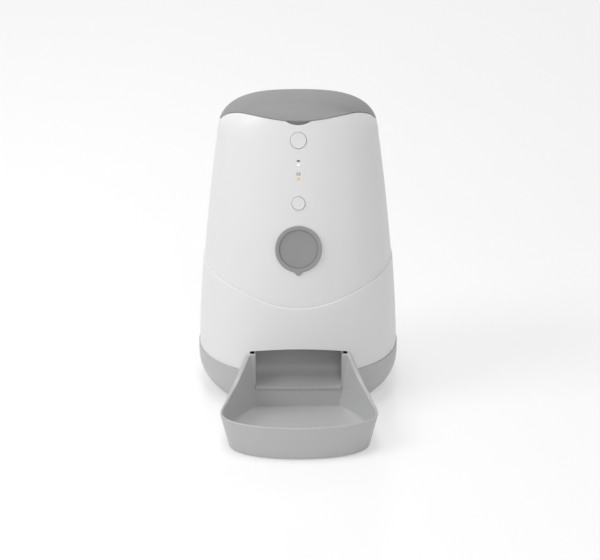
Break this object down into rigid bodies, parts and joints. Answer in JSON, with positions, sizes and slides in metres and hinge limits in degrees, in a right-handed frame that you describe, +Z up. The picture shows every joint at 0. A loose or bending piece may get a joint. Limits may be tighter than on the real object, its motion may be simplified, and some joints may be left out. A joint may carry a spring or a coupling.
{
  "type": "automatic pet feeder",
  "caption": "Free-standing dry food feeder: tapered oval housing with hinged lid, inner tank, driven paddle rotor, chute and pull-off tray, with front push buttons.",
  "frame": {"origin": "on the table, under the middle of the whole feeder", "axes": "+Z up, -Y to the front where the tray is, +X to the right seen from the front"},
  "size_m": [0.2104, 0.3184, 0.3147],
  "materials": {
    "white_shell": "satin",
    "grey_shell": "satin",
    "latch_grey": "satin",
    "dark_grey": "matte",
    "white_button": "satin",
    "badge_grey": "satin",
    "badge_face": "matte",
    "white_lens": "clear",
    "amber_lens": "clear",
    "inner_plastic": "matte",
    "tank_plastic": "satin",
    "rotor_plastic": "matte",
    "gear_plastic": "satin",
    "rubber": "matte",
    "steel": "satin",
    "brass": "satin",
    "motor_can": "satin",
    "circuit_board": "satin",
    "cell_sleeve": "gloss"
  },
  "bodies": {
    "housing": {"amber_window": "amber_lens", "badge_bezel": "badge_grey", "badge_disc": "badge_face", "base_housing": "grey_shell", "base_screws": "steel", "battery_cells": "cell_sleeve", "battery_contacts": "steel", "board_screws": "steel", "button_board": "circuit_board", "button_switches": "dark_grey", "chute": "grey_shell", "deck": "inner_plastic", "deck_screws": "steel", "food_sensors": "dark_grey", "food_tank": "tank_plastic", "gearbox_bush": "brass", "gearbox_cover": "inner_plastic", "gearbox_housing": "inner_plastic", "gearbox_screws": "steel", "idler_axle": "steel", "latch_spring": "steel", "lid_hinge_pin": "steel", "lower_shell": "white_shell", "main_board": "circuit_board", "main_board_screws": "steel", "motor": "motor_can", "outlet_guard": "rubber", "power_socket": "dark_grey", "rotor_bush": "brass", "rotor_housing": "inner_plastic", "rubber_feet": "rubber", "shell_screws": "steel", "status_lights": "white_lens", "upper_shell": "white_shell", "white_window": "white_lens"},
    "lid": {"lid_shell": "grey_shell", "lid_catch": "inner_plastic", "lid_liner": "inner_plastic", "lid_seal": "rubber", "lid_screws": "steel", "desiccant_box": "inner_plastic"},
    "desiccant_cover": {"desiccant_cover": "inner_plastic"},
    "latch": {"lid_latch": "latch_grey"},
    "tray": {"food_tray": "grey_shell"},
    "power_button": {"power_button": "white_button"},
    "feed_button": {"feed_button": "white_button"},
    "rotor": {"rotor": "rotor_plastic", "rotor_knob": "rotor_plastic", "rotor_shaft": "steel", "drive_gear": "gear_plastic"},
    "idler": {"idler_gear": "gear_plastic"},
    "pinion": {"motor_pinion": "brass"},
    "battery_door": {"battery_door": "grey_shell"}
  },
  "joints": [
    {"name": "lid_hinge", "type": "hinge", "parent": "housing", "child": "lid", "pos_m": [0, 0.12537, 0.2838], "axis": [-1, 0, 0], "range_deg": [0, 95]},
    {"name": "desiccant_cover_hinge", "type": "hinge", "parent": "lid", "child": "desiccant_cover", "pos_m": [0, 0.0805, 0.2655], "axis": [1, 0, 0], "range_deg": [0, 90]},
    {"name": "latch_slide", "type": "slide", "parent": "housing", "child": "latch", "axis": [0, 1, 0], "range_m": [0, 0.0025], "stiffness_N_per_m": 800, "springref_m": -0.001, "deforming": ["latch_spring"]},
    {"name": "tray_slide", "type": "slide", "parent": "housing", "child": "tray", "axis": [0, -1, 0], "range_m": [0, 0.06]},
    {"name": "power_button_press", "type": "slide", "parent": "housing", "child": "power_button", "axis": [0, 0.9753, -0.2209], "range_m": [0, 0.001], "stiffness_N_per_m": 1500, "springref_m": -0.0003},
    {"name": "feed_button_press", "type": "slide", "parent": "housing", "child": "feed_button", "axis": [0, 0.9753, -0.2209], "range_m": [0, 0.001], "stiffness_N_per_m": 1500, "springref_m": -0.0003},
    {"name": "rotor_spin", "type": "hinge", "parent": "housing", "child": "rotor", "pos_m": [0, 0.0341, 0.1], "axis": [0, 0, 1], "continuous": true},
    {"name": "idler_spin", "type": "hinge", "parent": "housing", "child": "idler", "pos_m": [0, 0.0781, 0.076], "axis": [0, 0, 1], "continuous": true},
    {"name": "pinion_spin", "type": "hinge", "parent": "housing", "child": "pinion", "pos_m": [0, 0.1061, 0.076], "axis": [0, 0, 1], "continuous": true},
    {"name": "battery_door_slide", "type": "slide", "parent": "housing", "child": "battery_door", "axis": [0, 1, 0], "range_m": [0, 0.012]}
  ],
  "couplings": [
    {"joint": "idler_spin", "follows": "rotor_spin", "ratio": -1},
    {"joint": "pinion_spin", "follows": "rotor_spin", "ratio": 3.6667}
  ]
}
